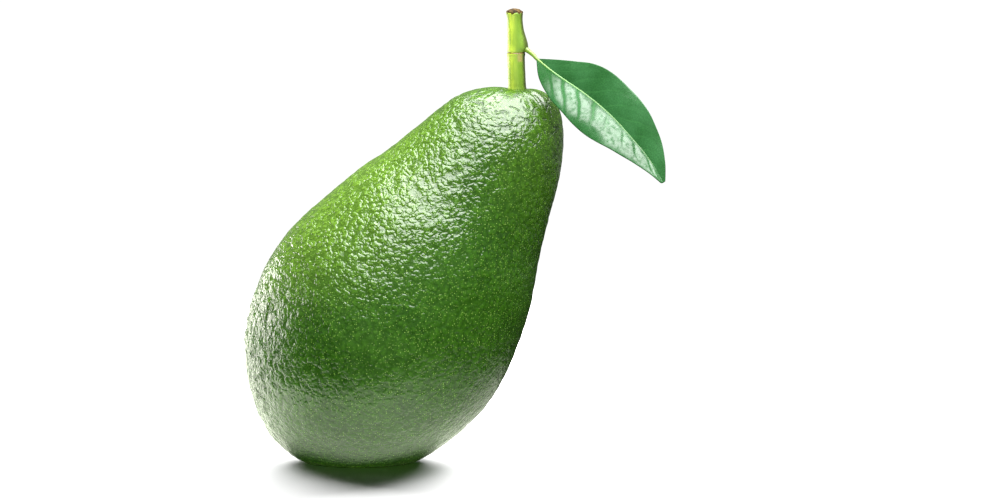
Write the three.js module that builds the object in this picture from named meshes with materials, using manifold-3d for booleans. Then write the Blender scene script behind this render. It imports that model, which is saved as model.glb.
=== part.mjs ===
// A whole avocado with a short piece of its stalk and one leaf, standing on its broad end.
// Millimetres, +Z up. The origin is the centre of the small flat spot that the fruit stands on.
// The neck leans towards +X, and the leaf droops on that side with its upper face towards -Y.
import * as THREE from "three";
import { mergeVertices } from "three/addons/utils/BufferGeometryUtils.js";
import Module from "manifold-3d";

const wasm = await Module();
wasm.setup();

// Fruit
const FRUIT_LENGTH = 125; // from the broad end to the end of the neck, along the axis
const FRUIT_LEAN = THREE.MathUtils.degToRad(36); // of the axis, from upright towards +X
const BROAD_END = new THREE.Vector3(-20.7, 0, 2.8); // where the axis leaves the broad end
const DEPTH_RATIO = 0.97; // the fruit is a little less deep than it is wide
// Girth against that of a ball as long as the fruit, at each tenth of the length from the broad end
const GIRTH = [0.6, 0.642, 0.644, 0.632, 0.602, 0.554, 0.504, 0.45, 0.428, 0.43, 0.38];
// Sideways sweep of the axis at the same places, which brings the neck upright
const SWEEP = [0.6, 0.8, 0.85, 0.6, 0.6, 0.3, -0.1, -0.9, -1.9, -2.0, 0.4];
// The broad end is a little fuller under the weight, so that the fruit stands
const HEEL = { station: 20, side: 0, reach: 9, spread: 0.62, height: 1.2 };
// Pebbled skin: low domes on cells of a jittered grid, larger than the fruit's own
const PEBBLE_CELL = 7;
const PEBBLE_HEIGHT = 0.8;
// Slow waves that keep the outline from being a turned shape
const WAVE_LENGTH = 42;
const WAVE_HEIGHT = 0.2;

// Stalk
const STALK_X = 43.85;
const STALK_TOP = 128.1;
const NODE_HEIGHT = 115.4; // of the ring where the leaf grows
const STALK_LEAN = -0.034; // sideways run for each millimetre of height
const STALK_ROOT = 96; // the stalk is made from inside the fruit, then cut by its skin
// Outline of the stalk as radius and height: foot, shaft, ring, shaft, lip and the dried cut end
const STALK_OUTLINE = [
  [3.5, STALK_ROOT], [3.4, 103.6], [3.0, 104.8], [2.55, 106.4], [2.47, 110], [2.44, 114.4],
  [2.52, 114.9], [2.52, 115.2], [2.32, NODE_HEIGHT], [2.38, 115.9], [2.26, 118.5], [2.18, 122.5],
  [2.14, 124.8], [2.3, 125.8], [2.34, 126.6], [2.0, 127.2], [1.4, 127.8], [0.7, 128.05],
];
const STALK_SIDES = 28;
const STALK_RIDGES = 5; // the shaft is faintly five-sided
const RIDGE_DEPTH = 0.035;
// Swelling that the leafstalk grows from, on the +X side above the ring
const CUSHION = { height: 117, up: 4, down: 1.15, reach: 1.2, turn: -0.25 };

// Dimple round the stalk's foot
const DIMPLE_RADIUS = 4.2;
const DIMPLE_DEPTH = 1.1;

// Leaf
const GAP = 0.3; // between pieces that meet
const LEAFSTALK = [[44.9, -0.6, 118.2], [46.1, -1.3, 116.9], [47.4, -2.1, 115.9], [48.8, -3.2, 114.8]];
const MIDRIB = [
  [49.8, -4.0, 113.8], [53.5, -5.8, 110.8], [57.5, -7.4, 108.0], [61.6, -8.9, 105.3], [65.5, -10.4, 102.4],
  [69.3, -12.0, 99.2], [72.7, -13.5, 95.8], [76.0, -15.0, 92.1], [79.2, -16.5, 88.4], [82.0, -18.2, 84.5],
  [84.4, -20.0, 80.4],
];
// Width of each half at each tenth of the midrib
const UPPER_HALF = [0.5, 3.3, 5.9, 7.85, 8.65, 8.5, 8.05, 7.1, 5.5, 3.2, 0.6];
const LOWER_HALF = [0.5, 4.85, 7.5, 8.85, 9.8, 9.8, 8.8, 7.1, 5.2, 3.0, 0.7];
const LEAF_THICKNESS = 0.8;
const LEAF_FACE = new THREE.Vector3(0.12, -0.88, 0.42); // the way its upper face looks
const LEAF_FOLD = 0.5; // how steeply each half rises from the midrib
const UPPER_CURL = 0.012; // how fast each half then curls back towards its edge
const LOWER_CURL = 0.044;
const LEAF_WAVE = 0.3; // height of the slow wave along the edge
const LEAF_WAVES = 3.2;
const LEAF_STEPS = 26;
const HALF_STEPS = 5; // from the midrib to the edge
const RIB_SIDES = 10;
const RIB_STEPS = 24;
// Thickness of the leafstalk and midrib as radius, from the stalk to the tip
const RIB_RADIUS = [1.5, 0.66, 0.56, 0.52, 0.5, 0.48, 0.46, 0.44, 0.42, 0.4];

// A value from an evenly spaced list, on the smooth curve through its entries. t runs from 0 to 1.
function along(list, t) {
  const last = list.length - 1;
  const i = Math.min(Math.floor(t * last), last - 1);
  const f = t * last - i;
  const before = i > 0 ? list[i - 1] : 2 * list[0] - list[1];
  const after = i + 2 <= last ? list[i + 2] : 2 * list[last] - list[last - 1];
  const [a, b] = [list[i], list[i + 1]];
  const [ta, tb] = [(b - before) / 2, (after - a) / 2];
  return a * (1 + 2 * f) * (1 - f) ** 2 + ta * f * (1 - f) ** 2 + b * f * f * (3 - 2 * f) - tb * f * f * (1 - f);
}

// A repeatable number from 0 to 1 for a whole-number place in space
function jitter(x, y, z, salt) {
  const h = Math.sin(x * 127.1 + y * 311.7 + z * 74.7 + salt * 53.3) * 43758.5453;
  return h - Math.floor(h);
}

// Height of the pebbled skin at a point: a dome round the nearest point of a jittered grid
function pebble(p) {
  const q = p.clone().divideScalar(PEBBLE_CELL);
  const base = q.clone().floor();
  let nearest = 2;
  for (let i = -1; i <= 1; i++)
    for (let j = -1; j <= 1; j++)
      for (let k = -1; k <= 1; k++) {
        const [x, y, z] = [base.x + i, base.y + j, base.z + k];
        const seed = new THREE.Vector3(x + jitter(x, y, z, 1), y + jitter(x, y, z, 2), z + jitter(x, y, z, 3));
        nearest = Math.min(nearest, seed.distanceTo(q));
      }
  return PEBBLE_HEIGHT * (0.5 - Math.min(nearest, 1) ** 2);
}

// The fruit's axis and its side, in the part's frame
const AXIS = new THREE.Vector3(Math.sin(FRUIT_LEAN), 0, Math.cos(FRUIT_LEAN));
const SIDE = new THREE.Vector3(Math.cos(FRUIT_LEAN), 0, -Math.sin(FRUIT_LEAN));

// The point on the smooth fruit for a direction from the middle of a ball, z along the fruit's axis
function smoothSkin(n) {
  const t = (1 + n.z) / 2;
  const girth = (FRUIT_LENGTH / 2) * along(GIRTH, t);
  const turn = Math.atan2(n.y, n.x);
  const fromHeel = ((t * FRUIT_LENGTH - HEEL.station) / HEEL.reach) ** 2 + ((turn - HEEL.side) / HEEL.spread) ** 2;
  const out = 1 + (HEEL.height * Math.exp(-fromHeel)) / girth;
  return BROAD_END.clone()
    .addScaledVector(AXIS, t * FRUIT_LENGTH)
    .addScaledVector(SIDE, girth * n.x * out + along(SWEEP, t))
    .add(new THREE.Vector3(0, girth * n.y * out * DEPTH_RATIO, 0));
}

// Which way the skin faces there, from two neighbouring points
function skinNormal(n) {
  const step = 1e-3;
  const across = new THREE.Vector3(-n.y, n.x, 0);
  if (across.length() < 1e-6) return AXIS.clone().multiplyScalar(Math.sign(n.z));
  across.normalize();
  const down = new THREE.Vector3().crossVectors(across, n);
  const at = smoothSkin(n);
  const a = smoothSkin(n.clone().addScaledVector(across, step).normalize()).sub(at);
  const b = smoothSkin(n.clone().addScaledVector(down, -step).normalize()).sub(at);
  return a.cross(b).normalize();
}

// The fruit's skin with its waves, pebbles and the dimple at the stalk, moved outwards by grow
function skin(n, grow) {
  const p = smoothSkin(n);
  const wave = Math.sin((2 * Math.PI * (p.x + 0.6 * p.y)) / WAVE_LENGTH)
    * Math.cos((2 * Math.PI * (p.z - 0.8 * p.y)) / WAVE_LENGTH + 1);
  const fromStalk = Math.hypot(p.x - STALK_X, p.y);
  const onTop = p.z > STALK_ROOT ? 1 : 0;
  const dimple = onTop * DIMPLE_DEPTH * Math.exp(-((fromStalk / DIMPLE_RADIUS) ** 2));
  const quiet = 1 - onTop * Math.exp(-((fromStalk / DIMPLE_RADIUS) ** 2));
  const height = WAVE_HEIGHT * wave + pebble(p) * quiet - dimple + grow;
  return p.addScaledVector(skinNormal(n), height);
}

// A ball made from a box of square faces, so that its triangles are even, passed through a shape
function ballGeometry(around, lengthwise, shape) {
  const g = new THREE.BoxGeometry(2, 2, 2, around, around, lengthwise);
  g.deleteAttribute("normal");
  g.deleteAttribute("uv");
  const merged = mergeVertices(g, 1e-5);
  const pos = merged.attributes.position;
  const n = new THREE.Vector3();
  for (let i = 0; i < pos.count; i++) {
    n.fromBufferAttribute(pos, i);
    const [x, y, z] = n.toArray().map((c) => Math.tan((c * Math.PI) / 4));
    const p = shape(n.set(x, y, z).normalize());
    pos.setXYZ(i, p.x, p.y, p.z);
  }
  return merged;
}

function solid(geometry) {
  const g = geometry.clone();
  g.deleteAttribute("normal");
  g.deleteAttribute("uv");
  const merged = mergeVertices(g, 1e-4);
  return new wasm.Manifold(
    new wasm.Mesh({
      numProp: 3,
      vertProperties: merged.attributes.position.array,
      triVerts: new Uint32Array(merged.index.array),
    }),
  );
}

function geometryOf(manifold) {
  const m = manifold.getMesh();
  const g = new THREE.BufferGeometry();
  g.setAttribute("position", new THREE.BufferAttribute(new Float32Array(m.vertProperties), 3));
  g.setIndex(new THREE.BufferAttribute(new Uint32Array(m.triVerts), 1));
  g.computeVertexNormals();
  return g;
}

function fruitSolid(grow) {
  return solid(ballGeometry(24, 34, (n) => skin(n, grow)));
}

// The fruit, cut flat where it stands
function makeFruit() {
  const under = new THREE.BoxGeometry(200, 200, 40);
  under.translate(0, 0, -20);
  return fruitSolid(0).subtract(solid(under));
}

// The stalk as a turned outline, then leaned, made faintly five-sided and swollen where the leaf grows
function stalkSolid(grow) {
  const outline = [
    new THREE.Vector2(0, STALK_ROOT - grow),
    ...STALK_OUTLINE.map(([r, z]) => new THREE.Vector2(r + grow, z)),
    new THREE.Vector2(0, STALK_TOP + grow),
  ];
  const g = new THREE.LatheGeometry(outline, STALK_SIDES);
  g.rotateX(Math.PI / 2);
  const pos = g.attributes.position;
  const p = new THREE.Vector3();
  for (let i = 0; i < pos.count; i++) {
    p.fromBufferAttribute(pos, i);
    const turn = Math.atan2(p.y, p.x);
    const radius = Math.hypot(p.x, p.y);
    const ridge = 1 + RIDGE_DEPTH * Math.cos(STALK_RIDGES * turn);
    const rise = p.z - CUSHION.height;
    const facing = Math.max(0, Math.cos(turn - CUSHION.turn)) ** 2;
    const swell = CUSHION.reach * facing * Math.exp(-((rise / (rise > 0 ? CUSHION.up : CUSHION.down)) ** 2));
    const out = radius * ridge + (radius > 1.8 ? swell : 0);
    p.x = Math.cos(turn) * out + STALK_X + STALK_LEAN * (p.z - NODE_HEIGHT);
    p.y = Math.sin(turn) * out;
    pos.setXYZ(i, p.x, p.y, p.z);
  }
  return solid(g);
}

function makeStalk() {
  return stalkSolid(0).subtract(fruitSolid(GAP));
}

// The leaf's frame at a share of its midrib: place, the way across to the lower edge, and the face
function leafFrame(midrib, t) {
  const at = midrib.getPointAt(t);
  const tangent = midrib.getTangentAt(t);
  const across = new THREE.Vector3().crossVectors(tangent, LEAF_FACE).normalize();
  const face = new THREE.Vector3().crossVectors(across, tangent).normalize();
  return { at, across, face };
}

// The blade as one closed sheet, both faces split into triangles alike
function bladeSolid() {
  const midrib = new THREE.CatmullRomCurve3(MIDRIB.map((p) => new THREE.Vector3(...p)), false, "centripetal");
  const columns = 2 * HALF_STEPS + 1;
  const faceSize = (LEAF_STEPS + 1) * columns;
  const vertices = [];
  for (const layer of [0.5, -0.5])
    for (let i = 0; i <= LEAF_STEPS; i++) {
      const t = i / LEAF_STEPS;
      const { at, across, face } = leafFrame(midrib, t);
      for (let j = 0; j < columns; j++) {
        const v = (j - HALF_STEPS) / HALF_STEPS;
        const out = along(v > 0 ? LOWER_HALF : UPPER_HALF, t) * v;
        const curl = v > 0 ? LOWER_CURL : UPPER_CURL;
        const phase = 2 * Math.PI * LEAF_WAVES * t + (v > 0 ? 0 : 1.4);
        const wave = LEAF_WAVE * v * v * Math.sin(phase) * Math.sin(Math.PI * t);
        const thick = LEAF_THICKNESS * layer * (1 - 0.35 * v * v);
        const lift = LEAF_FOLD * Math.abs(out) - curl * out * out + wave;
        const p = at.clone().addScaledVector(across, out).addScaledVector(face, lift + thick);
        vertices.push(p.x, p.y, p.z);
      }
    }
  const index = [];
  const quad = (a, b, c, d) => index.push(a, c, b, a, d, c);
  for (let i = 0; i < LEAF_STEPS; i++) {
    for (let j = 0; j < columns - 1; j++) {
      const a = i * columns + j;
      quad(a, a + columns, a + columns + 1, a + 1);
      const b = a + faceSize;
      index.push(b, b + columns, b + columns + 1, b, b + columns + 1, b + 1);
    }
    const [low, high] = [i * columns, i * columns + columns - 1];
    quad(low, low + faceSize, low + columns + faceSize, low + columns);
    quad(high, high + columns, high + columns + faceSize, high + faceSize);
  }
  for (let j = 0; j < columns - 1; j++) {
    const end = LEAF_STEPS * columns + j;
    quad(j, j + 1, j + 1 + faceSize, j + faceSize);
    quad(end, end + faceSize, end + 1 + faceSize, end + 1);
  }
  const g = new THREE.BufferGeometry();
  g.setAttribute("position", new THREE.BufferAttribute(new Float32Array(vertices), 3));
  g.setIndex(index);
  return solid(g);
}

// The leafstalk and the midrib as one tapering rod
function ribSolid() {
  const points = [...LEAFSTALK, ...MIDRIB].map((p) => new THREE.Vector3(...p));
  const path = new THREE.CatmullRomCurve3(points, false, "centripetal");
  const outline = [new THREE.Vector2(0, 0)];
  for (let i = 0; i <= RIB_STEPS; i++)
    outline.push(new THREE.Vector2(along(RIB_RADIUS, i / RIB_STEPS), i / RIB_STEPS));
  outline.push(new THREE.Vector2(0, 1));
  const g = new THREE.LatheGeometry(outline, RIB_SIDES);
  const pos = g.attributes.position;
  for (let i = 0; i < pos.count; i++) {
    const t = pos.getY(i);
    const tangent = path.getTangentAt(t);
    const across = new THREE.Vector3().crossVectors(tangent, LEAF_FACE).normalize();
    const face = new THREE.Vector3().crossVectors(across, tangent).normalize();
    const p = path.getPointAt(t).addScaledVector(across, -pos.getZ(i)).addScaledVector(face, pos.getX(i));
    pos.setXYZ(i, p.x, p.y, p.z);
  }
  return solid(g);
}

function makeLeaf() {
  return bladeSolid().add(ribSolid()).subtract(stalkSolid(GAP));
}

function mesh(name, manifold, color, roughness) {
  const material = new THREE.MeshStandardMaterial({ color, roughness, metalness: 0 });
  const made = new THREE.Mesh(geometryOf(manifold), material);
  made.name = name;
  return made;
}

const avocado = new THREE.Group();
avocado.name = "avocado";
avocado.add(mesh("fruit", makeFruit(), 0x2f6b16, 0.35));
avocado.add(mesh("stalk", makeStalk(), 0x8fc43c, 0.5));
avocado.add(mesh("leaf", makeLeaf(), 0x2b7a34, 0.4));

export default avocado;
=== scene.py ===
"""A whole avocado with a short piece of its stalk and one leaf.

Metres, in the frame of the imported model: +Z up, the neck leans towards +X, the leaf's upper face looks to -Y.
"""

import math

import bpy
import numpy as np
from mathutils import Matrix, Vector, noise


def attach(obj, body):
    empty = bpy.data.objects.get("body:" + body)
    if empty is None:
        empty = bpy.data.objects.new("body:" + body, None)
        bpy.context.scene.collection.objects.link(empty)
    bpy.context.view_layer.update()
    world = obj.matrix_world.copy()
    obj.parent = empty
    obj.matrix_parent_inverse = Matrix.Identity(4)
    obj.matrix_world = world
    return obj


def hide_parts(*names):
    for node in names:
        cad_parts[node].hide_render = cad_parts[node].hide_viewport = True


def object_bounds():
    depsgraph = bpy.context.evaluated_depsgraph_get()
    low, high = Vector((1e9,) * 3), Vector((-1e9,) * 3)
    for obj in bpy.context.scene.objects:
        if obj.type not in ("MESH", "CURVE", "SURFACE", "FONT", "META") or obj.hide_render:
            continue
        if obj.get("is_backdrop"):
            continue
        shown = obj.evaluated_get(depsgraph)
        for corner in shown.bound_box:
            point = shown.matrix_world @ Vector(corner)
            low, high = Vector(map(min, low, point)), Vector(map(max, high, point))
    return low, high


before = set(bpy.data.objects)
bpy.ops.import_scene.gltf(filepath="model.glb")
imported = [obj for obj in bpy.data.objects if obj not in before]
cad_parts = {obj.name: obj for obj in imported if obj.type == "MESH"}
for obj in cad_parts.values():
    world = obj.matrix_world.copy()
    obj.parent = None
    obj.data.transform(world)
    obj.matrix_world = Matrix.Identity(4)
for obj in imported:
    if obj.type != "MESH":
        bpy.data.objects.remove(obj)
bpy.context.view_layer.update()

# Fruit. A pear-shaped avocado with a leathery, waxy green skin, grown in one piece and standing on its broad
# end. The skin is covered in low pebbles, strewn with pale corky dots, and wrinkled and cracked round the
# dimple where the stalk grows.
FRUIT_LENGTH = 0.125
FRUIT_LEAN = math.radians(36)
BROAD_END = np.array([-0.0207, 0, 0.0028])
DEPTH_RATIO = 0.97
# Girth against a ball as long as the fruit, and sweep of the axis towards SIDE, at each tenth of the length
GIRTH = [0.6, 0.642, 0.644, 0.632, 0.602, 0.554, 0.504, 0.45, 0.428, 0.43, 0.38]
SWEEP = [0.0006, 0.0008, 0.00085, 0.0006, 0.0006, 0.0003, -0.0001, -0.0009, -0.0019, -0.002, 0.0004]
# The broad end is fuller on the lower right, under the weight, at this place and reach along the axis
HEEL_STATION, HEEL_REACH, HEEL_SPREAD, HEEL_HEIGHT = 0.020, 0.009, 0.62, 0.0012
WAVE_LENGTH, WAVE_HEIGHT = 0.042, 0.0002
DIMPLE_X, DIMPLE_RADIUS, DIMPLE_DEPTH = 0.0437, 0.0038, 0.0010
# The dimple and the barer, wrinkled skin round it lie above this height
NECK_TOP = 0.096
PEBBLE_SIZE, PEBBLE_HEIGHT = 0.0021, 0.00015
PEBBLE_WARP, WARP_SIZE = 0.0007, 0.0035
BARE_SHARE = 0.85
SWELL_SIZE, SWELL_HEIGHT = 0.0065, 0.00016
FURROW_SIZE, FURROW_HEIGHT = 0.0026, 0.00022
WRINKLE_SIZE, WRINKLE_HEIGHT = 0.0045, 0.00035
# The relief is bolder where the skin looks this way, and boldest low on the left flank
BOLD_WAY = np.array([-0.25, -0.62, 0.74])
# Painted light: the skin is painted a yellower green where it faces this way, up towards the light
PAINTED_LIGHT_WAY = np.array([-0.15, 0.0, 0.99])

AXIS = np.array([math.sin(FRUIT_LEAN), 0, math.cos(FRUIT_LEAN)])
SIDE = np.array([math.cos(FRUIT_LEAN), 0, -math.sin(FRUIT_LEAN)])


def along(stations, share):
    """Values at shares of a length, on the smooth curve through evenly spaced stations."""
    values = np.array([2 * stations[0] - stations[1], *stations, 2 * stations[-1] - stations[-2]])
    place = np.clip(share, 0, 1) * (len(stations) - 1)
    i = np.minimum(place.astype(int), len(stations) - 2)
    f = place - i
    before, here, there, after = (values[i + k] for k in range(4))
    smooth = here * (1 + 2 * f) * (1 - f) ** 2 + there * f * f * (3 - 2 * f)
    return smooth + (there - before) / 2 * f * (1 - f) ** 2 - (after - here) / 2 * f * f * (1 - f)


def points_of(mesh):
    """The places of a mesh's vertices, one in each row."""
    co = np.zeros(len(mesh.vertices) * 3)
    mesh.vertices.foreach_get("co", co)
    return co.reshape(-1, 3)


def move_points(mesh, points):
    mesh.vertices.foreach_set("co", np.ascontiguousarray(points, np.float32).ravel())
    mesh.update()


def normals_of(mesh):
    normals = np.zeros(len(mesh.vertices) * 3)
    mesh.vertex_normals.foreach_get("vector", normals)
    return normals.reshape(-1, 3)


def smooth_step(value, low, high):
    share = np.clip((value - low) / (high - low), 0, 1)
    return share * share * (3 - 2 * share)


def grain(points, size):
    """Smooth noise from about -1 to 1, with features of that size."""
    return np.array([noise.noise(p) for p in points / size])


def pebbles(points, size):
    """0 in the creases between rounded pebbles of that size, and 1 on their tops."""
    gaps = [noise.voronoi(p)[0] for p in points / size]
    return np.array([min(1, 2.2 * (g[1] - g[0])) for g in gaps])


def set_mark(mesh, name, values):
    """A number for each vertex, which the material reads as an attribute."""
    mark = mesh.attributes.new(name, "FLOAT", "POINT")
    mark.data.foreach_set("value", np.asarray(values, np.float32))


bpy.ops.object.select_all(action="DESELECT")
bpy.ops.mesh.primitive_cube_add(size=2, location=(0, 0, 0))
skin = bpy.context.object
skin.name = skin.data.name = "fruit_skin"
bpy.ops.object.mode_set(mode="EDIT")
bpy.ops.mesh.select_all(action="SELECT")
bpy.ops.mesh.subdivide(number_cuts=15)
bpy.ops.mesh.subdivide(number_cuts=7)
bpy.ops.object.mode_set(mode="OBJECT")

# The cube's grid, spread evenly over a ball, leaves no pole. The ball is then given the fruit's axis and
# girth.
ball = np.tan(points_of(skin.data) * math.pi / 4)
ball /= np.linalg.norm(ball, axis=1, keepdims=True)
share = (1 + ball[:, 2]) / 2
girth = FRUIT_LENGTH / 2 * along(GIRTH, share)
turn = np.arctan2(ball[:, 1], ball[:, 0])
from_heel = ((share * FRUIT_LENGTH - HEEL_STATION) / HEEL_REACH) ** 2 + (turn / HEEL_SPREAD) ** 2
girth = girth + HEEL_HEIGHT * np.exp(-from_heel)
body = BROAD_END + np.outer(share * FRUIT_LENGTH, AXIS)
body += np.outer(girth * ball[:, 0] + along(SWEEP, share), SIDE)
body[:, 1] += girth * ball[:, 1] * DEPTH_RATIO
move_points(skin.data, body)
out = normals_of(skin.data)

# Relief: long waves, the dimple, uneven swells, pebbles, furrows, and wrinkles that run out from the stalk
wave_x = 2 * math.pi * (body[:, 0] + 0.6 * body[:, 1]) / WAVE_LENGTH
wave_z = 2 * math.pi * (body[:, 2] - 0.8 * body[:, 1]) / WAVE_LENGTH
from_stalk = np.hypot(body[:, 0] - DIMPLE_X, body[:, 1])
on_top = body[:, 2] > NECK_TOP
dimple = on_top * np.exp(-((from_stalk / DIMPLE_RADIUS) ** 2))
neck = on_top * smooth_step(from_stalk, 0.024, 0.006)
bare = on_top * smooth_step(from_stalk, 0.0165, 0.0105)
rugged = 0.6 + 0.4 * smooth_step(out @ BOLD_WAY, 0.6, 0.95)
rugged += 1.5 * smooth_step(-out[:, 0], 0.6, 0.95) * smooth_step(out[:, 2], 0.5, 0.15)
pebbly = rugged * (1 - BARE_SHARE * bare)
bend = np.stack([grain(body + shift, WARP_SIZE) for shift in (0, 1, 2)], axis=1)
pebbled = pebbles(body + PEBBLE_WARP * bend, PEBBLE_SIZE)
around = np.arctan2(body[:, 1], body[:, 0] - DIMPLE_X)
spokes = np.stack([np.cos(around) * 0.03, np.sin(around) * 0.03, from_stalk * 0.35], axis=1)
height = WAVE_HEIGHT * np.sin(wave_x) * np.cos(wave_z + 1) - DIMPLE_DEPTH * dimple
height += SWELL_HEIGHT * grain(body, SWELL_SIZE) * (1 - 0.6 * neck) * rugged
height += PEBBLE_HEIGHT * (pebbled - 0.6) * (0.7 + 0.5 * grain(body, 0.012)) * pebbly
height += FURROW_HEIGHT * grain(body, FURROW_SIZE) * pebbly
height += WRINKLE_HEIGHT * grain(spokes, WRINKLE_SIZE) * neck * (1 - dimple)
body += out * height[:, None]
body[:, 2] = np.maximum(body[:, 2], 0)
move_points(skin.data, body)
skin.data.shade_smooth()
set_mark(skin.data, "pebble_top", pebbled)
set_mark(skin.data, "neck", smooth_step(share, 0.62, 1.0))
set_mark(skin.data, "relief", pebbly)
# Painted light: how far the skin faces up towards the light, for its yellower painted green
set_mark(skin.data, "painted_light", smooth_step(out @ PAINTED_LIGHT_WAY, 0.1, 0.9))


def add(tree, kind, settings=None, **sockets):
    """Adds a shader node. A socket given a value is set, and one given another node's socket is linked to it.

    Sockets go by name, or by number as _0, _1 and so on.
    """
    made = tree.nodes.new(kind)
    for name, value in (settings or {}).items():
        setattr(made, name, value)
    for name, value in sockets.items():
        socket = made.inputs[int(name[1:])] if name[1:].isdigit() else made.inputs[name.replace("_", " ")]
        if isinstance(value, bpy.types.NodeSocket):
            tree.links.new(value, socket)
        else:
            socket.default_value = value
    return made


def new_group(name, inputs, outputs):
    """An empty node group with a Vector input, named number inputs and outputs, which it gives as well."""
    tree = bpy.data.node_groups.new(name, "ShaderNodeTree")
    tree.interface.new_socket("Vector", in_out="INPUT", socket_type="NodeSocketVector")
    for label, value in inputs.items():
        tree.interface.new_socket(label, in_out="INPUT", socket_type="NodeSocketFloat").default_value = value
    for label in outputs:
        tree.interface.new_socket(label, in_out="OUTPUT", socket_type="NodeSocketFloat")
    return tree, tree.nodes.new("NodeGroupInput").outputs, tree.nodes.new("NodeGroupOutput").inputs


def math_node(tree, operation, a, b=0.0, clamp=False):
    settings = {"operation": operation, "use_clamp": clamp}
    return add(tree, "ShaderNodeMath", settings, _0=a, _1=b).outputs[0]


def ramp(tree, value, low, high):
    """0 at low and 1 at high, smooth between."""
    settings = {"interpolation_type": "SMOOTHSTEP"}
    made = add(tree, "ShaderNodeMapRange", settings, Value=value, From_Min=low, From_Max=high)
    return made.outputs["Result"]


def mix_colour(tree, share, a, b):
    made = add(tree, "ShaderNodeMix", {"data_type": "RGBA"}, Factor=share, _6=a, _7=b)
    return made.outputs[2]


# Group: corky dots strewn over a surface, each of its own strength
dots_inputs = {"Spacing": 0.0006, "Radius": 0.00017, "Share": 0.7}
dots_group, given, result = new_group("Corky dots", dots_inputs, ["Dots"])
per_metre = math_node(dots_group, "DIVIDE", 1.0, given["Spacing"])
cells = add(dots_group, "ShaderNodeTexVoronoi", Vector=given["Vector"], Scale=per_metre)
radius = math_node(dots_group, "DIVIDE", given["Radius"], given["Spacing"])
inner = math_node(dots_group, "MULTIPLY", radius, 0.55)
spot = ramp(dots_group, cells.outputs["Distance"], radius, inner)
chance = add(dots_group, "ShaderNodeSeparateColor", Color=cells.outputs["Color"]).outputs[0]
shown = ramp(dots_group, chance, math_node(dots_group, "SUBTRACT", 1.0, given["Share"]), 1.15)
dots_group.links.new(math_node(dots_group, "MULTIPLY", spot, shown), result["Dots"])

# Group: uneven patches of a size, with finer ones inside them
patches_group, given, result = new_group("Patches", {"Size": 0.01, "Low": 0.35, "High": 0.65}, ["Patches"])
per_metre = math_node(patches_group, "DIVIDE", 1.0, given["Size"])
here = given["Vector"]
cloud = add(patches_group, "ShaderNodeTexNoise", Vector=here, Scale=per_metre, Detail=3.0, Roughness=0.55)
patches = ramp(patches_group, cloud.outputs[0], given["Low"], given["High"])
patches_group.links.new(patches, result["Patches"])


def from_group(tree, group, **sockets):
    return add(tree, "ShaderNodeGroup", {"node_tree": group}, **sockets).outputs[0]


def new_material(name):
    """A material with its tree, its shader and the surface's own coordinates."""
    made = bpy.data.materials.new(name)
    made.use_nodes = True
    shader = made.node_tree.nodes["Principled BSDF"]
    return made, made.node_tree, shader, add(made.node_tree, "ShaderNodeTexCoord").outputs["Object"]


def mark(tree, name):
    """A number that the mesh carries at each vertex."""
    return add(tree, "ShaderNodeAttribute", {"attribute_name": name}).outputs["Fac"]


DEEP_GREEN = (0.0095, 0.041, 0.0011, 1)
LEAF_GREEN = (0.028, 0.092, 0.0036, 1)
PAINTED_LIGHT_GREEN = (0.088, 0.172, 0.011, 1)
# Painted shade: the dark green put into the creases and cracks
CREASE_PAINTED_SHADE = (0.004, 0.020, 0.0008, 1)
DOT_GREEN = (0.220, 0.370, 0.065, 1)
SKIN_ROUGHNESS = 0.175
FINE_PEBBLE, FINE_HEIGHT = 0.0013, 0.00017
CRACKS_PER_METRE, CRACK_DEPTH = 200.0, 0.00018
DOT_SPACING, DOT_RADIUS = 0.00052, 0.00016

# Colour: green in uneven patches and yellower at the neck, with painted light as a yellower green where the
# light falls and painted shade darkening the creases and cracks
peel, tree, shader, here = new_material("waxy_skin")
wide = from_group(tree, patches_group, Vector=here, Size=0.014, Low=0.3, High=0.7)
fine = from_group(tree, patches_group, Vector=here, Size=0.0012, Low=0.35, High=0.68)
green = mix_colour(tree, math_node(tree, "MULTIPLY", wide, 0.45), DEEP_GREEN, LEAF_GREEN)
green = mix_colour(tree, math_node(tree, "MULTIPLY", fine, 0.55), green, LEAF_GREEN)
# Painted light: the upper side is painted yellower, less so on the neck, whose own tone is a little yellower
shy = math_node(tree, "SUBTRACT", 1.0, math_node(tree, "MULTIPLY", mark(tree, "neck"), 0.6))
painted_light_and_neck_tone = math_node(tree, "MULTIPLY", mark(tree, "painted_light"), shy)
painted_light_and_neck_tone = math_node(tree, "MAXIMUM", math_node(tree, "MULTIPLY", mark(tree, "neck"), 0.3), painted_light_and_neck_tone)
green = mix_colour(tree, math_node(tree, "MULTIPLY", painted_light_and_neck_tone, 0.75), green, PAINTED_LIGHT_GREEN)
warp = add(tree, "ShaderNodeTexNoise", Vector=here, Scale=420.0, Detail=2.0).outputs["Color"]
warp = add(tree, "ShaderNodeVectorMath", {"operation": "SCALE"}, _0=warp, Scale=0.0028).outputs["Vector"]
bent = add(tree, "ShaderNodeVectorMath", {"operation": "ADD"}, _0=here, _1=warp).outputs["Vector"]
cells = {"feature": "SMOOTH_F1"}
fine_cells = add(tree, "ShaderNodeTexVoronoi", cells, Vector=bent, Scale=1 / FINE_PEBBLE, Smoothness=0.25)
low = ramp(tree, fine_cells.outputs["Distance"], 0.25, 0.75)
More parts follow.
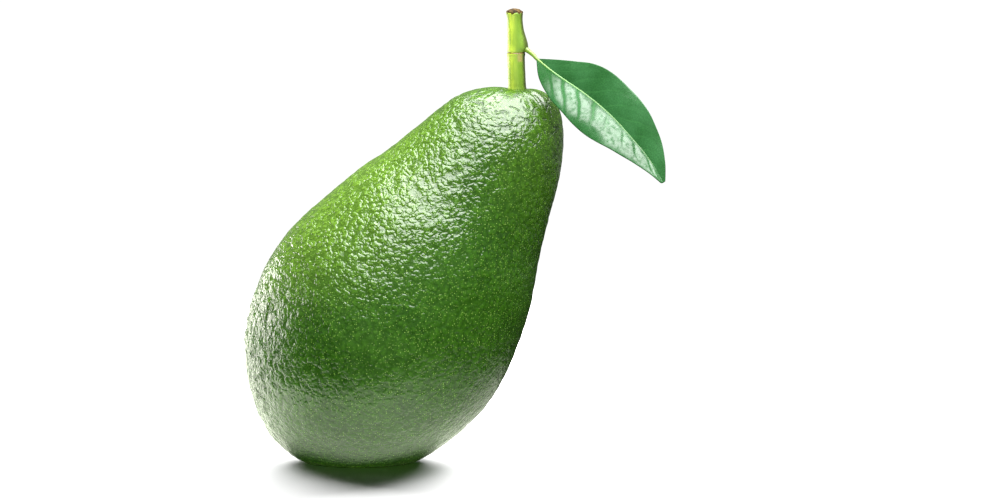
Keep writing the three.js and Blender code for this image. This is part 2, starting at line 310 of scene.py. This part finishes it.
# Painted shade: the creases between the pebbles are painted darker
painted_crease_shade = math_node(tree, "MAXIMUM", ramp(tree, mark(tree, "pebble_top"), 0.35, 0.0), low)
green = mix_colour(tree, math_node(tree, "MULTIPLY", painted_crease_shade, 0.5), green, CREASE_PAINTED_SHADE)
to_edge = {"feature": "DISTANCE_TO_EDGE"}
plates = add(tree, "ShaderNodeTexVoronoi", to_edge, Vector=bent, Scale=CRACKS_PER_METRE).outputs[0]
furrows = add(tree, "ShaderNodeTexNoise", Vector=here, Scale=520.0, Detail=3.0, Roughness=0.6).outputs[0]
cracks = math_node(tree, "MULTIPLY", ramp(tree, plates, 0.08, 0.02), ramp(tree, furrows, 0.46, 0.60))
cracks = math_node(tree, "MULTIPLY", cracks, ramp(tree, mark(tree, "neck"), 0.45, 0.9))
# Painted shade: the cracks are painted with the same dark green
green = mix_colour(tree, math_node(tree, "MULTIPLY", cracks, 0.7), green, CREASE_PAINTED_SHADE)
dots = from_group(tree, dots_group, Vector=here, Spacing=DOT_SPACING, Radius=DOT_RADIUS, Share=0.9)
green = mix_colour(tree, math_node(tree, "MULTIPLY", dots, 0.7), green, DOT_GREEN)
tree.links.new(green, shader.inputs["Base Color"])

# Sheen: waxy in patches, duller on the dots and in the cracks
wax = add(tree, "ShaderNodeMapRange", Value=wide, To_Min=SKIN_ROUGHNESS, To_Max=SKIN_ROUGHNESS + 0.06)
wax = wax.outputs["Result"]
wax = math_node(tree, "ADD", wax, math_node(tree, "MULTIPLY", dots, 0.08))
wax = math_node(tree, "ADD", wax, math_node(tree, "MULTIPLY", cracks, 0.35))
tree.links.new(wax, shader.inputs["Roughness"])

# Fine relief: small pebbles and furrows, a grain, and the cracks
depth = math_node(tree, "MULTIPLY", mark(tree, "relief"), FINE_HEIGHT)
relief = math_node(tree, "SUBTRACT", 1.0, low)
relief = math_node(tree, "ADD", relief, math_node(tree, "MULTIPLY", furrows, 1.6))
relief = math_node(tree, "MULTIPLY", relief, depth)
skin_grain = add(tree, "ShaderNodeTexNoise", Vector=here, Scale=1300.0, Detail=2.0).outputs[0]
relief = math_node(tree, "ADD", relief, math_node(tree, "MULTIPLY", skin_grain, 0.00006))
relief = math_node(tree, "SUBTRACT", relief, math_node(tree, "MULTIPLY", cracks, CRACK_DEPTH))
bump = add(tree, "ShaderNodeBump", Height=relief, Distance=1.0, Strength=1.0)
tree.links.new(bump.outputs["Normal"], shader.inputs["Normal"])
shader.inputs["IOR"].default_value = 1.52

skin.data.materials.append(peel)
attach(skin, "root")
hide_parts("fruit")

# Stalk. A short fresh green twig, cut with shears above the node where the leaf grows. It grows from the
# fruit's dimple, a brown ring marks the node, and it swells on the leaf's side.
STALK_X, NODE_HEIGHT, STALK_LEAN = 0.04385, 0.1154, -0.034
# Outline as radius and height: foot, shaft, ring, shaft and lip
STALK_OUTLINE = [
    (0.0031, 0.1030), (0.0030, 0.1038), (0.00275, 0.1048), (0.00255, 0.1060), (0.00249, 0.1080),
    (0.00246, 0.1110), (0.00245, 0.1142), (0.0025, 0.1147), (0.00254, 0.1150), (0.00249, 0.11525),
    (0.00232, 0.1154), (0.00236, 0.1156), (0.0024, 0.1160), (0.00232, 0.1172), (0.00226, 0.1190),
    (0.00218, 0.1220), (0.00214, 0.1244), (0.0022, 0.1253), (0.00228, 0.1259), (0.00234, 0.1263),
    (0.0023, 0.1266),
]
STALK_SIDES, STALK_STEP = 72, 0.00022
# The swelling that the leaf grows from, by its height, how far it stands out and how far it runs up and down
CUSHION_HEIGHT, CUSHION_OUT, CUSHION_UP, CUSHION_DOWN = 0.1170, 0.00125, 0.0040, 0.00115

bpy.ops.object.select_all(action="DESELECT")
foot_radius, foot_height = STALK_OUTLINE[0]
bpy.ops.mesh.primitive_circle_add(vertices=STALK_SIDES, radius=foot_radius, location=(0, 0, foot_height))
stalk = bpy.context.object
stalk.name = stalk.data.name = "stalk_shaft"
bpy.ops.object.mode_set(mode="EDIT")
bpy.ops.mesh.select_all(action="SELECT")
for (radius, height), (next_radius, next_height) in zip(STALK_OUTLINE, STALK_OUTLINE[1:]):
    steps = max(1, round((next_height - height) / STALK_STEP))
    for step in range(steps):
        here_radius = radius + (next_radius - radius) * step / steps
        there_radius = radius + (next_radius - radius) * (step + 1) / steps
        rise = (next_height - height) / steps
        bpy.ops.mesh.extrude_region_move(TRANSFORM_OT_translate={"value": (0, 0, rise)})
        scale = there_radius / here_radius
        bpy.ops.transform.resize(value=(scale, scale, 1), center_override=(0, 0, 0))
bpy.ops.mesh.fill_grid()
bpy.ops.mesh.select_all(action="DESELECT")
bpy.ops.mesh.select_non_manifold()
bpy.ops.mesh.fill_grid()
bpy.ops.mesh.select_all(action="SELECT")
bpy.ops.mesh.normals_make_consistent(inside=False)
bpy.ops.object.mode_set(mode="OBJECT")
bpy.ops.object.transform_apply(location=True, rotation=True, scale=True)

points = points_of(stalk.data)
turn = np.arctan2(points[:, 1], points[:, 0])
radius = np.hypot(points[:, 0], points[:, 1])
rise = points[:, 2] - CUSHION_HEIGHT
facing = np.maximum(0, np.cos(turn + 0.25)) ** 2
swell = CUSHION_OUT * facing * np.exp(-((rise / np.where(rise > 0, CUSHION_UP, CUSHION_DOWN)) ** 2))
ribs = 1 + 0.006 * np.cos(5 * turn + 0.6) + 0.004 * np.cos(13 * turn + 1)
on_wall = smooth_step(radius, 0.0012, 0.0018)
fibres = np.stack([np.cos(turn) * 0.0022, np.sin(turn) * 0.0022, points[:, 2] * 0.12], axis=1)
thick = radius * ribs + on_wall * (swell + 0.00004 * grain(fibres, 0.00035) + 0.00003 * grain(points, 0.0012))
points[:, 0] = np.cos(turn) * thick + STALK_X + STALK_LEAN * (points[:, 2] - NODE_HEIGHT)
points[:, 1] = np.sin(turn) * thick
move_points(stalk.data, points)
set_mark(stalk.data, "flank", np.cos(turn))
stalk.data.shade_smooth()

YOUNG_GREEN = (0.38, 0.49, 0.040, 1)
# A darker green for the stalk's streaks and patches, and for its painted shade on the +X side
DARK_GREEN_AND_PAINTED_SHADE = (0.112, 0.205, 0.014, 1)
RING_BROWN = (0.11, 0.045, 0.010, 1)
# Painted shade: a near-black olive for the stalk's +X edge
PAINTED_EDGE_SHADE = (0.030, 0.035, 0.008, 1)
SCAR_TAN = (0.34, 0.21, 0.10, 1)

bark, tree, shader, here = new_material("green_twig")
streaks = add(tree, "ShaderNodeMapping", Vector=here)
streaks.inputs["Scale"].default_value = (1, 1, 0.12)
lines = add(tree, "ShaderNodeTexNoise", Vector=streaks.outputs[0], Scale=1400.0, Detail=3.0).outputs[0]
dull_lines = math_node(tree, "MULTIPLY", ramp(tree, lines, 0.4, 0.7), 0.5)
green = mix_colour(tree, dull_lines, YOUNG_GREEN, DARK_GREEN_AND_PAINTED_SHADE)
wide = from_group(tree, patches_group, Vector=here, Size=0.004, Low=0.35, High=0.7)
green = mix_colour(tree, math_node(tree, "MULTIPLY", wide, 0.4), green, DARK_GREEN_AND_PAINTED_SHADE)
place = add(tree, "ShaderNodeSeparateXYZ", Vector=here).outputs
wobble = add(tree, "ShaderNodeTexNoise", Vector=here, Scale=700.0, Detail=3.0).outputs[0]
sideways = math_node(tree, "SUBTRACT", place["X"], math_node(tree, "MULTIPLY", place["Z"], STALK_LEAN))
sideways = math_node(tree, "SUBTRACT", sideways, STALK_X - STALK_LEAN * NODE_HEIGHT)
# Painted shade: the stalk is painted darker green towards its +X side, away from the light on the left
green = mix_colour(tree, ramp(tree, mark(tree, "flank"), -0.65, 0.4), green, DARK_GREEN_AND_PAINTED_SHADE)
level = math_node(tree, "ADD", place["Z"], math_node(tree, "MULTIPLY", wobble, 0.0007))
from_ring = math_node(tree, "ABSOLUTE", math_node(tree, "SUBTRACT", level, NODE_HEIGHT + 0.00032))
ring = ramp(tree, from_ring, 0.00028, 0.0001)
green = mix_colour(tree, math_node(tree, "MULTIPLY", ring, 0.9), green, RING_BROWN)
sideways = math_node(tree, "ADD", sideways, math_node(tree, "MULTIPLY", wobble, 0.0006))
# Painted shade: a dark band painted down the outermost +X flank of the stalk
painted_edge_shade = math_node(tree, "ADD", mark(tree, "flank"), math_node(tree, "MULTIPLY", wobble, 0.2))
painted_edge_shade = ramp(tree, painted_edge_shade, 0.70, 1.0)
green = mix_colour(tree, math_node(tree, "MULTIPLY", painted_edge_shade, 0.85), green, PAINTED_EDGE_SHADE)
scar = math_node(tree, "MULTIPLY", ramp(tree, sideways, 0.0002, 0.0012), ramp(tree, sideways, 0.0023, 0.0018))
below_ring = math_node(tree, "ABSOLUTE", math_node(tree, "SUBTRACT", level, NODE_HEIGHT - 0.0010))
scar = math_node(tree, "MULTIPLY", scar, ramp(tree, below_ring, 0.0016, 0.0006))
green = mix_colour(tree, math_node(tree, "MULTIPLY", scar, 0.5), green, SCAR_TAN)
tree.links.new(green, shader.inputs["Base Color"])
shader.inputs["Roughness"].default_value = 0.42
bump = add(tree, "ShaderNodeBump", Height=math_node(tree, "MULTIPLY", lines, 0.00006), Distance=1.0)
tree.links.new(bump.outputs["Normal"], shader.inputs["Normal"])
stalk.data.materials.append(bark)
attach(stalk, "root")
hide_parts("stalk")

# Cut end. The sap has dried on the stalk's cut into a rough brown crust, which stands up a little and frays
# over the lip.
CRUST_HALF_SIZE = np.array([0.00232, 0.00232, 0.0012])
CRUST_LOW, CRUST_HIGH = 0.1258, 0.1280
CRUST_BROWN = (0.090, 0.052, 0.009, 1)
CRUST_DARK = (0.020, 0.010, 0.002, 1)
CRUST_BLACK = (0.006, 0.004, 0.002, 1)

bpy.ops.object.select_all(action="DESELECT")
bpy.ops.mesh.primitive_ico_sphere_add(subdivisions=6, radius=1, location=(0, 0, 0))
crust = bpy.context.object
crust.name = crust.data.name = "stalk_cut_end"
points = points_of(crust.data)
lumps = 1 + 0.10 * grain(points, 0.45) + 0.06 * grain(points, 0.2)
points = points * lumps[:, None] * CRUST_HALF_SIZE
cut_height = STALK_OUTLINE[-1][1]
points += np.array([STALK_X + STALK_LEAN * (cut_height - NODE_HEIGHT), 0, cut_height])
points[:, 2] = np.clip(points[:, 2], CRUST_LOW, CRUST_HIGH)
move_points(crust.data, points)
crust.data.shade_smooth()

dried, tree, shader, here = new_material("dried_cut")
clumps = from_group(tree, patches_group, Vector=here, Size=0.0009, Low=0.38, High=0.62)
brown = mix_colour(tree, clumps, CRUST_BROWN, CRUST_DARK)
grit = add(tree, "ShaderNodeTexNoise", Vector=here, Scale=2600.0, Detail=3.0).outputs[0]
brown = mix_colour(tree, ramp(tree, grit, 0.5, 0.7), brown, CRUST_BLACK)
tree.links.new(brown, shader.inputs["Base Color"])
shader.inputs["Roughness"].default_value = 0.85
shader.inputs["Specular IOR Level"].default_value = 0.25
bump = add(tree, "ShaderNodeBump", Height=math_node(tree, "MULTIPLY", grit, 0.0002), Distance=1.0)
tree.links.new(bump.outputs["Normal"], shader.inputs["Normal"])
crust.data.materials.append(dried)
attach(crust, "root")

# Leaf blade. One leathery leaf grown along its midrib, glossy dark green above, paler and matt below. Each
# side rises from the midrib and curls back at its edge, and the blade is quilted between its side veins.
MIDRIB = [
    (0.0498, -0.0040, 0.1138), (0.0535, -0.0058, 0.1108), (0.0575, -0.0074, 0.1080),
    (0.0616, -0.0089, 0.1053), (0.0655, -0.0104, 0.1024), (0.0693, -0.0120, 0.0992),
    (0.0727, -0.0135, 0.0958), (0.0760, -0.0150, 0.0921), (0.0792, -0.0165, 0.0884),
    (0.0820, -0.0182, 0.0845), (0.0844, -0.0200, 0.0804),
]
LEAF_FACE = np.array([0.12, -0.88, 0.42])
# Width of the upper and the lower side at each tenth of the midrib
UPPER_HALF = [0.0001, 0.0033, 0.0059, 0.00785, 0.00865, 0.0085, 0.00805, 0.0071, 0.0055, 0.0031, 0.0005]
LOWER_HALF = [0.0002, 0.0048, 0.00745, 0.0088, 0.0098, 0.0098, 0.0088, 0.0071, 0.0052, 0.0030, 0.0006]
LEAF_FOLD = 0.50
UPPER_CURL, LOWER_CURL = 12.0, 44.0
LEAF_LENGTHWISE, LEAF_ACROSS = 180, 64
BLADE_THICKNESS = 0.00035
SIDE_VEINS = 9
UPPER_QUILT, LOWER_QUILT = 0.00004, 0.00016
EDGE_WAVE, EDGE_WAVES = 0.0003, 3.2

bpy.ops.object.select_all(action="DESELECT")
bpy.ops.mesh.primitive_grid_add(
    x_subdivisions=LEAF_LENGTHWISE, y_subdivisions=LEAF_ACROSS, size=2, location=(0, 0, 0)
)
blade = bpy.context.object
blade.name = blade.data.name = "leaf_blade"
bpy.ops.object.mode_set(mode="EDIT")
bpy.ops.mesh.select_all(action="SELECT")
bpy.ops.mesh.flip_normals()
bpy.ops.object.mode_set(mode="OBJECT")


def leaf_frame(share):
    """Places on the midrib at shares of its length, with the ways to the lower edge and out of the face."""
    path = [np.array(axis) for axis in zip(*MIDRIB)]
    at = np.stack([along(axis, share) for axis in path], axis=1)
    ahead = np.stack([along(axis, share + 1e-3) - along(axis, share - 1e-3) for axis in path], axis=1)
    ahead /= np.linalg.norm(ahead, axis=1, keepdims=True)
    across = np.cross(ahead, LEAF_FACE)
    across /= np.linalg.norm(across, axis=1, keepdims=True)
    return at, across, np.cross(across, ahead)


grid = points_of(blade.data)
share = (grid[:, 0] + 1) / 2
side = grid[:, 1]
lower = side > 0
reach = np.where(lower, along(LOWER_HALF, share), along(UPPER_HALF, share)) * side
at, across, face = leaf_frame(share)
forward = np.where(lower, 0.16, 0.22) * np.abs(side) ** 1.2
vein_phase = SIDE_VEINS * (share - forward) + 0.35 * lower + 0.25 * grain(grid * [1, 0.5, 1], 0.22)
from_vein = np.abs((vein_phase + 0.5) % 1 - 0.5)
in_blade = np.sin(math.pi * np.clip(share, 0, 1)) ** 0.5
swollen = smooth_step(from_vein, 0.0, 0.32) - 0.6
quilt = np.where(lower, LOWER_QUILT, UPPER_QUILT) * swollen * in_blade
quilt *= smooth_step(1 - np.abs(side), 0.0, 0.35) * smooth_step(np.abs(side), 0.0, 0.2)
wave_phase = 2 * math.pi * EDGE_WAVES * share + np.where(lower, 0, 1.4)
wave = EDGE_WAVE * side ** 2 * np.sin(wave_phase) * in_blade
curl = np.where(lower, LOWER_CURL, UPPER_CURL)
lift = LEAF_FOLD * np.abs(reach) - curl * reach ** 2 + wave + quilt
move_points(blade.data, at + across * reach[:, None] + face * lift[:, None])
set_mark(blade.data, "from_vein", from_vein)
set_mark(blade.data, "side", side)
set_mark(blade.data, "share", share)
# Wax lies on the lower side between its veins and all over towards the tip, and on the upper side most by
# the edge towards the tip
banded = smooth_step(from_vein, 0.04, 0.26) * smooth_step(share, 0.10, 0.24)
glossy_below = banded + (1 - banded) * smooth_step(share, 0.38, 0.62)
glossy_below *= 0.25 + 0.75 * smooth_step(np.abs(side), 1.0, 0.72)
glossy_above = 0.14 + 0.62 * smooth_step(share, 0.3, 0.6) * smooth_step(np.abs(side), 0.45, 0.95)
set_mark(blade.data, "waxed", np.where(lower, glossy_below, glossy_above))
blade.data.shade_smooth()

UPPER_DEEP = (0.012, 0.059, 0.014, 1)
UPPER_MID = (0.023, 0.090, 0.028, 1)
UPPER_VEIN = (0.040, 0.150, 0.040, 1)
LEAF_FOOT = (0.002, 0.036, 0.003, 1)
UNDER_PALE = (0.090, 0.200, 0.070, 1)
UNDER_VEIN = (0.180, 0.280, 0.110, 1)


def leaf_material(name, base, other, vein, vein_share, roughness):
    """One face of the blade: two greens in patches, veins, a fine net, and wax where the mesh is marked."""
    made, tree, shader, here = new_material(name)
    wide = from_group(tree, patches_group, Vector=here, Size=0.008, Low=0.3, High=0.7)
    green = mix_colour(tree, wide, base, other)
    line = ramp(tree, mark(tree, "from_vein"), 0.07, 0.0)
    inner = ramp(tree, math_node(tree, "ABSOLUTE", mark(tree, "side")), 0.95, 0.4)
    line = math_node(tree, "MULTIPLY", math_node(tree, "MULTIPLY", line, inner), vein_share)
    green = mix_colour(tree, line, green, vein)
    foot = ramp(tree, mark(tree, "share"), 0.30, 0.10)
    foot = math_node(tree, "MULTIPLY", foot, ramp(tree, mark(tree, "side"), -0.05, 0.1))
    green = mix_colour(tree, math_node(tree, "MULTIPLY", foot, 0.9), green, LEAF_FOOT)
    net = add(tree, "ShaderNodeTexVoronoi", {"feature": "DISTANCE_TO_EDGE"}, Vector=here, Scale=1500.0)
    net = ramp(tree, net.outputs[0], 0.12, 0.0)
    green = mix_colour(tree, math_node(tree, "MULTIPLY", net, 0.18), green, vein)
    tree.links.new(green, shader.inputs["Base Color"])
    sheen = add(tree, "ShaderNodeMapRange", Value=wide, To_Min=roughness - 0.04, To_Max=roughness + 0.05)
    tree.links.new(sheen.outputs["Result"], shader.inputs["Roughness"])
    film = add(tree, "ShaderNodeTexNoise", Vector=here, Scale=900.0, Detail=4.0, Roughness=0.65).outputs[0]
    film = math_node(tree, "MULTIPLY", ramp(tree, film, 0.2, 0.6), mark(tree, "waxed"))
    tree.links.new(film, shader.inputs["Coat Weight"])
    shader.inputs["Coat Roughness"].default_value = 0.22
    shader.inputs["IOR"].default_value = 1.1
    grain_height = add(tree, "ShaderNodeTexNoise", Vector=here, Scale=2200.0, Detail=2.0).outputs[0]
    relief = math_node(tree, "MULTIPLY", grain_height, 0.00003)
    relief = math_node(tree, "SUBTRACT", relief, math_node(tree, "MULTIPLY", net, 0.00001))
    bump = add(tree, "ShaderNodeBump", Height=relief, Distance=1.0)
    tree.links.new(bump.outputs["Normal"], shader.inputs["Normal"])
    return made


blade.data.materials.append(leaf_material("leaf_upper_face", UPPER_DEEP, UPPER_MID, UPPER_VEIN, 0.4, 0.26))
blade.data.materials.append(leaf_material("leaf_under_face", UNDER_PALE, UNDER_PALE, UNDER_VEIN, 0.8, 0.6))
under_faces = blade.modifiers.new("Thickness", "SOLIDIFY")
under_faces.thickness = BLADE_THICKNESS
under_faces.offset = -1
under_faces.material_offset = 1
bpy.ops.object.modifier_apply(modifier="Thickness")
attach(blade, "root")
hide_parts("leaf")

# Leafstalk and midrib. One tapering rib, grown into the swelling above the ring. It is round and yellow-green
# up to the blade, and then runs along the fold as a thin pale line above and a raised rib below.
LEAFSTALK = [
    (0.0440, 0.0003, 0.1196), (0.0459, -0.0006, 0.1171), (0.0474, -0.0017, 0.1159), (0.0488, -0.0030, 0.1148),
]
RIB = [*LEAFSTALK, *MIDRIB]
# Its radius at each of these points
RIB_RADIUS = [
    0.0014, 0.00095, 0.00068, 0.00060, 0.00049, 0.00042, 0.00040, 0.00039,
    0.00038, 0.00037, 0.00036, 0.00034, 0.00031, 0.00027, 0.00018,
]
# How far the midrib's middle lies below the blade's upper face
RIB_SUNK = 0.00025
RIB_STEPS, RIB_SIDES = 120, 16
TIP_GREEN = (0.045, 0.140, 0.040, 1)
MIDRIB_GREEN = (0.110, 0.250, 0.065, 1)
LEAFSTALK_GREEN = (0.115, 0.200, 0.016, 1)
STREAK_GREEN = (0.10, 0.16, 0.018, 1)

shares = np.linspace(0, 1, RIB_STEPS + 1)
track = np.stack([along(list(axis), shares) for axis in zip(*RIB)], axis=1)
track -= np.outer(RIB_SUNK * smooth_step(shares, 0.21, 0.32), LEAF_FACE)
thickness = along(RIB_RADIUS, shares)
UNIT_RADIUS = 0.001
line = bpy.data.curves.new("leaf_rib", "CURVE")
line.dimensions = "3D"
spline = line.splines.new("POLY")
spline.points.add(RIB_STEPS)
for point, place, radius in zip(spline.points, track, thickness):
    point.co = (*place, 1)
    point.radius = radius / UNIT_RADIUS
line.bevel_depth = UNIT_RADIUS
line.bevel_resolution = RIB_SIDES // 4
line.use_fill_caps = True
rib = bpy.data.objects.new("leaf_rib", line)
bpy.context.scene.collection.objects.link(rib)
bpy.ops.object.select_all(action="DESELECT")
bpy.context.view_layer.objects.active = rib
rib.select_set(True)
bpy.ops.object.convert(target="MESH")
rib = bpy.context.object
rib.data.shade_smooth()

rib_green, tree, shader, here = new_material("pale_rib")
streaks = from_group(tree, patches_group, Vector=here, Size=0.0012, Low=0.35, High=0.7)
rib_x = add(tree, "ShaderNodeSeparateXYZ", Vector=here).outputs["X"]
green = mix_colour(tree, ramp(tree, rib_x, 0.084, 0.056), TIP_GREEN, MIDRIB_GREEN)
green = mix_colour(tree, ramp(tree, rib_x, 0.056, 0.048), green, LEAFSTALK_GREEN)
green = mix_colour(tree, math_node(tree, "MULTIPLY", streaks, 0.35), green, STREAK_GREEN)
tree.links.new(green, shader.inputs["Base Color"])
shader.inputs["Roughness"].default_value = 0.45
rough = add(tree, "ShaderNodeTexNoise", Vector=here, Scale=1800.0, Detail=2.0).outputs[0]
bump = add(tree, "ShaderNodeBump", Height=math_node(tree, "MULTIPLY", rough, 0.00005), Distance=1.0)
tree.links.new(bump.outputs["Normal"], shader.inputs["Normal"])
rib.data.materials.append(rib_green)
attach(rib, "root")

# Floor, light and camera. A plain white floor that melts into a white studio, one large soft light overhead,
# and a camera a metre away at the height of the fruit's middle. In the waxy skin's reflections the floor is
# brighter near the fruit, and a long light stands on the left.
FLOOR_RADIUS, FADE_START, FADE_END = 0.6, 0.30, 0.58
FLOOR_IN_MIRRORS = 2.2
STUDIO_TO_CAMERA, STUDIO_IN_MIRRORS, STUDIO_ELSEWHERE = 1.05, 0.25, 0.01

bpy.ops.object.select_all(action="DESELECT")
bpy.ops.mesh.primitive_circle_add(
    vertices=128, radius=FLOOR_RADIUS, fill_type="NGON", location=(0.02, 0, -0.0002)
)
floor = bpy.context.object
floor.name = "floor"
floor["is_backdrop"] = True

paper, tree, shader, here = new_material("white_floor")
shader.inputs["Base Color"].default_value = (0.86, 0.86, 0.86, 1)
shader.inputs["Roughness"].default_value = 0.9
shader.inputs["Specular IOR Level"].default_value = 0

# To the camera the floor fades out towards its edge
from_middle = add(tree, "ShaderNodeVectorMath", {"operation": "LENGTH"}, _0=here).outputs["Value"]
gone = ramp(tree, from_middle, FADE_START, FADE_END)
clear = add(tree, "ShaderNodeBsdfTransparent")
fade = add(tree, "ShaderNodeMixShader", _0=gone, _1=shader.outputs[0], _2=clear.outputs[0])

# In mirrors it glows round the fruit, but not far in front, to the right, behind, or where the fruit stands
floor_place = add(tree, "ShaderNodeSeparateXYZ", Vector=here).outputs
to_left = math_node(tree, "MINIMUM", math_node(tree, "ADD", floor_place["X"], 0.05), 0.0)
depth = math_node(tree, "ADD", floor_place["Y"], math_node(tree, "MULTIPLY", to_left, 0.45))
near = ramp(tree, depth, -0.070, -0.042)
near = math_node(tree, "MULTIPLY", near, ramp(tree, floor_place["X"], 0.085, 0.02))
not_behind = ramp(tree, floor_place["Y"], 0.09, 0.05)
not_behind = math_node(tree, "MAXIMUM", not_behind, ramp(tree, floor_place["X"], -0.06, -0.11))
near = math_node(tree, "MULTIPLY", near, not_behind)
under = add(tree, "ShaderNodeVectorMath", {"operation": "ADD"}, _0=here, _1=(0.02, 0.002, 0.0)).outputs[0]
under = add(tree, "ShaderNodeVectorMath", {"operation": "MULTIPLY"}, _0=under, _1=(0.62, 1.0, 1.0)).outputs[0]
under = add(tree, "ShaderNodeVectorMath", {"operation": "LENGTH"}, _0=under).outputs["Value"]
near = math_node(tree, "MULTIPLY", near, ramp(tree, under, 0.011, 0.019))
level = math_node(tree, "MULTIPLY_ADD", ramp(tree, floor_place["X"], -0.04, -0.08), FLOOR_IN_MIRRORS)
level.node.inputs[2].default_value = FLOOR_IN_MIRRORS
level = math_node(tree, "SUBTRACT", level, ramp(tree, floor_place["X"], -0.005, 0.03))
mirrored = math_node(tree, "ADD", math_node(tree, "MULTIPLY", near, level), 0.02)

# Light that the skin scatters sees neither the glow nor the full white
rays = add(tree, "ShaderNodeLightPath").outputs
unscattered = math_node(tree, "SUBTRACT", 1.0, rays["Diffuse Depth"], clamp=True)
mirrored = math_node(tree, "MULTIPLY", mirrored, unscattered)
mirrored = add(tree, "ShaderNodeEmission", Color=(0.95, 1, 0.82, 1), Strength=mirrored).outputs[0]
surface = add(tree, "ShaderNodeMixShader", _0=rays["Is Glossy Ray"], _1=fade.outputs[0], _2=mirrored)
dim = add(tree, "ShaderNodeBsdfDiffuse", Color=(0.4, 0.4, 0.4, 1)).outputs[0]
surface = add(tree, "ShaderNodeMixShader", _0=rays["Is Diffuse Ray"], _1=surface.outputs[0], _2=dim)
tree.links.new(surface.outputs[0], tree.nodes["Material Output"].inputs["Surface"])
floor.data.materials.append(paper)

studio = bpy.data.worlds.new("studio")
bpy.context.scene.world = studio
studio.use_nodes = True
tree = studio.node_tree
rays = add(tree, "ShaderNodeLightPath").outputs
glow = math_node(tree, "MULTIPLY", rays["Is Glossy Ray"], STUDIO_IN_MIRRORS)
glow = math_node(tree, "ADD", glow, STUDIO_ELSEWHERE)
to_camera = rays["Is Camera Ray"]
glow = add(tree, "ShaderNodeMix", {"data_type": "FLOAT"}, Factor=to_camera, _2=glow, _3=STUDIO_TO_CAMERA)
tree.links.new(glow.outputs[0], tree.nodes["Background"].inputs["Strength"])
tree.nodes["Background"].inputs["Color"].default_value = (1, 1, 1, 1)

TARGET = Vector((0.03941, 0, 0.05996))


def area_light(name, width, depth, energy, place, aim):
    """An area light that stands off from TARGET by place, and turns its back the way of aim."""
    light = bpy.data.lights.new(name, "AREA")
    light.shape = "RECTANGLE"
    light.size, light.size_y = width, depth
    light.energy = energy
    made = bpy.data.objects.new(name, light)
    bpy.context.scene.collection.objects.link(made)
    made.location = TARGET + Vector(place)
    made.rotation_euler = Vector(aim).to_track_quat("Z", "Y").to_euler()
    return made


# The fruit's lights leave the floor out, and the floor's two lights, which set the shadow, light nothing else
softbox = area_light("softbox", 0.78, 0.94, 29.5, (0.12, -0.13, 0.60), (0, 0, 1))
not_lit = bpy.data.collections.new("not_lit_by_softbox")
not_lit.objects.link(floor)
not_lit.collection_objects[0].light_linking.link_state = "EXCLUDE"
softbox.light_linking.receiver_collection = not_lit
back_light = area_light("back_light", 0.9, 0.9, 34, (-0.1, 0.40, 0.95), (-0.1, 0.40, 0.95))
back_light.visible_glossy = False
back_light.light_linking.receiver_collection = not_lit
# This light shines up from below the floor, which doesn't hold it back
low_light = area_light("low_light", 0.8, 0.5, 4.6, (0.0, -0.42, -0.22), (0.0, -0.42, -0.22))
low_light.visible_glossy = False
low_light.light_linking.receiver_collection = not_lit
low_light.light_linking.blocker_collection = not_lit
left_light = area_light("left_light", 1.3, 0.27, 9.8, (-1.0, 0.68, 0.055), (-1.0, 0.5, 0.0))
left_light.data.color = (1.0, 1.0, 0.88)
left_light.light_linking.receiver_collection = not_lit
for light in (softbox, back_light, low_light, left_light):
    light.visible_camera = False
only_floor = bpy.data.collections.new("lit_by_floor_lights")
only_floor.objects.link(floor)
floor_lights = [
    ("floor_light_left", 0.75, 34, (-0.44, 0.74, 0.62)),
    ("floor_light_right", 0.55, 39, (0.48, 0.70, 0.66)),
]
for name, size, energy, place in floor_lights:
    floor_light = area_light(name, size, size, energy, place, place)
    floor_light.visible_glossy = False
    floor_light.light_linking.receiver_collection = only_floor

ELEVATION = math.radians(5)
camera = bpy.data.cameras.new("camera")
camera.sensor_width = 36
camera.lens = 127.9
view = bpy.data.objects.new("camera", camera)
bpy.context.scene.collection.objects.link(view)
view.location = TARGET + Vector((0, -math.cos(ELEVATION), math.sin(ELEVATION)))
view.rotation_euler = (math.pi / 2 - ELEVATION, 0, 0)
bpy.context.scene.camera = view
bpy.context.scene.view_settings.view_transform = "Standard"

low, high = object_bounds()
